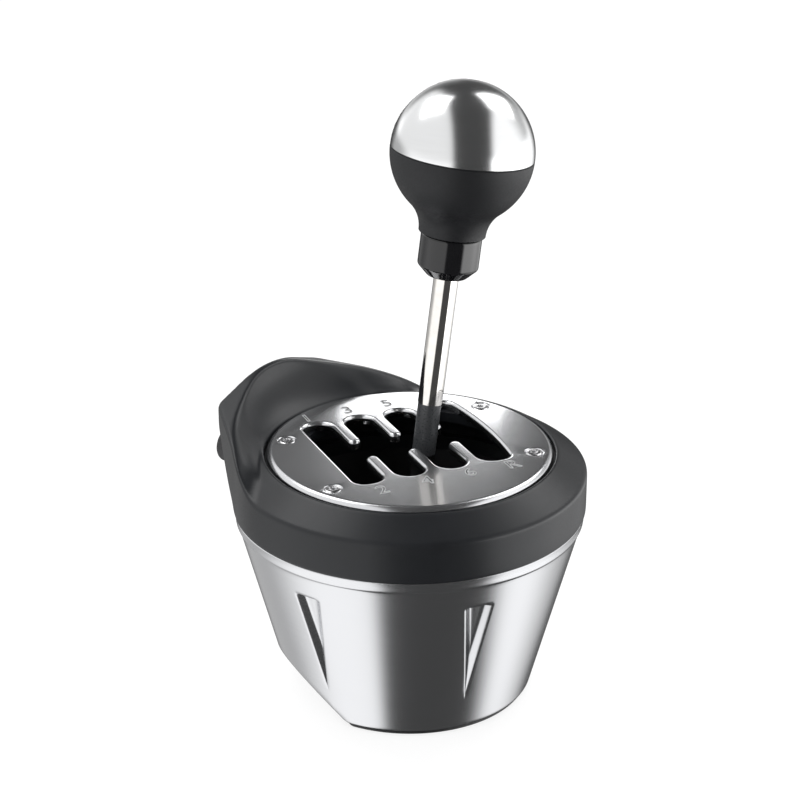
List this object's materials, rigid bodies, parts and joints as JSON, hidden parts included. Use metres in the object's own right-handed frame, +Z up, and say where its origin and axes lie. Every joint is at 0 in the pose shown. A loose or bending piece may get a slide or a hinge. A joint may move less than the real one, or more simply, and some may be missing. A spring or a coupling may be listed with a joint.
{
  "type": "sim racing gear shifter",
  "caption": "H-pattern gear shifter: a ball-topped lever on a gimbal runs in the slots of a round gate plate, on a conical metal body with a black collar that rises at the rear.",
  "frame": {"origin": "centre of the base's underside, on the axis of the conical body", "axes": "+Z up, +Y the way the lever moves into the odd gears, +X to the driver's right; the clamp side of the body is turned 30 degrees from +Y towards -X"},
  "size_m": [0.135, 0.1441, 0.2373],
  "materials": {
    "plate_steel": "satin steel with soft reflections",
    "screw_steel": "plain steel",
    "collar_plastic": "fine-grained black moulding",
    "shell_metal": "brushed, with vertical bands of light",
    "pad_rubber": "matte",
    "panel_plastic": "matte black",
    "socket_metal": "plated",
    "socket_plastic": "matte",
    "board": "solder mask",
    "brass": "machined",
    "chassis_metal": "plated",
    "detent_plastic": "natural acetal",
    "lever_steel": "polished",
    "rod_chrome": "mirror chrome",
    "sleeve_plastic": "matte dark grey",
    "ferrule_gloss": "gloss black",
    "grip_rubber": "soft matte black",
    "cap_steel": "satin steel"
  },
  "bodies": {
    "housing": {"gate_plate": "plate_steel", "plate_screws": "screw_steel", "top_collar": "collar_plastic", "metal_shell": "shell_metal", "upper_desk_pad": "pad_rubber", "lower_desk_pad": "pad_rubber", "rear_panel": "panel_plastic", "usb_socket": "socket_metal", "din_socket": "socket_plastic", "main_board": "board", "base_pad": "pad_rubber", "base_plate": "panel_plastic", "base_screws": "screw_steel", "mount_inserts": "brass", "chassis": "chassis_metal", "chassis_screws": "screw_steel", "front_bush": "brass", "rear_bush": "brass", "detent_plate": "detent_plastic", "sensor_board": "board"},
    "gimbal": {"yoke": "chassis_metal", "shift_pin": "screw_steel", "thrust_washers": "detent_plastic", "yoke_magnet": "screw_steel"},
    "lever": {"lever_hub": "lever_steel", "hub_bush": "brass", "lever_rod": "rod_chrome", "lever_sleeve": "sleeve_plastic", "knob_ferrule": "ferrule_gloss", "knob_insert": "brass", "knob_grip": "grip_rubber", "knob_cap": "cap_steel", "plunger_spring": "screw_steel"},
    "plunger": {"plunger": "screw_steel"},
    "adjuster": {"resistance_screw": "screw_steel"}
  },
  "joints": [
    {"name": "select", "type": "hinge", "parent": "housing", "child": "gimbal", "pos_m": [0, 0.005, 0.031], "axis": [0, 1, 0], "range_deg": [-28.4, 13.75]},
    {"name": "shift", "type": "hinge", "parent": "gimbal", "child": "lever", "pos_m": [0, 0.005, 0.031], "axis": [-0.9918, 0, 0.1275], "range_deg": [-17.5, 17.5]},
    {"name": "detent", "type": "slide", "parent": "lever", "child": "plunger", "axis": [0.1275, 0, 0.9918], "range_m": [0, 0.0015], "stiffness_N_per_m": 800, "springref_m": -0.003, "deforming": ["plunger_spring"]},
    {"name": "resistance", "type": "hinge", "parent": "housing", "child": "adjuster", "pos_m": [0, 0.005, 0.005], "axis": [0, 0, 1], "range_deg": [-180, 180]}
  ]
}
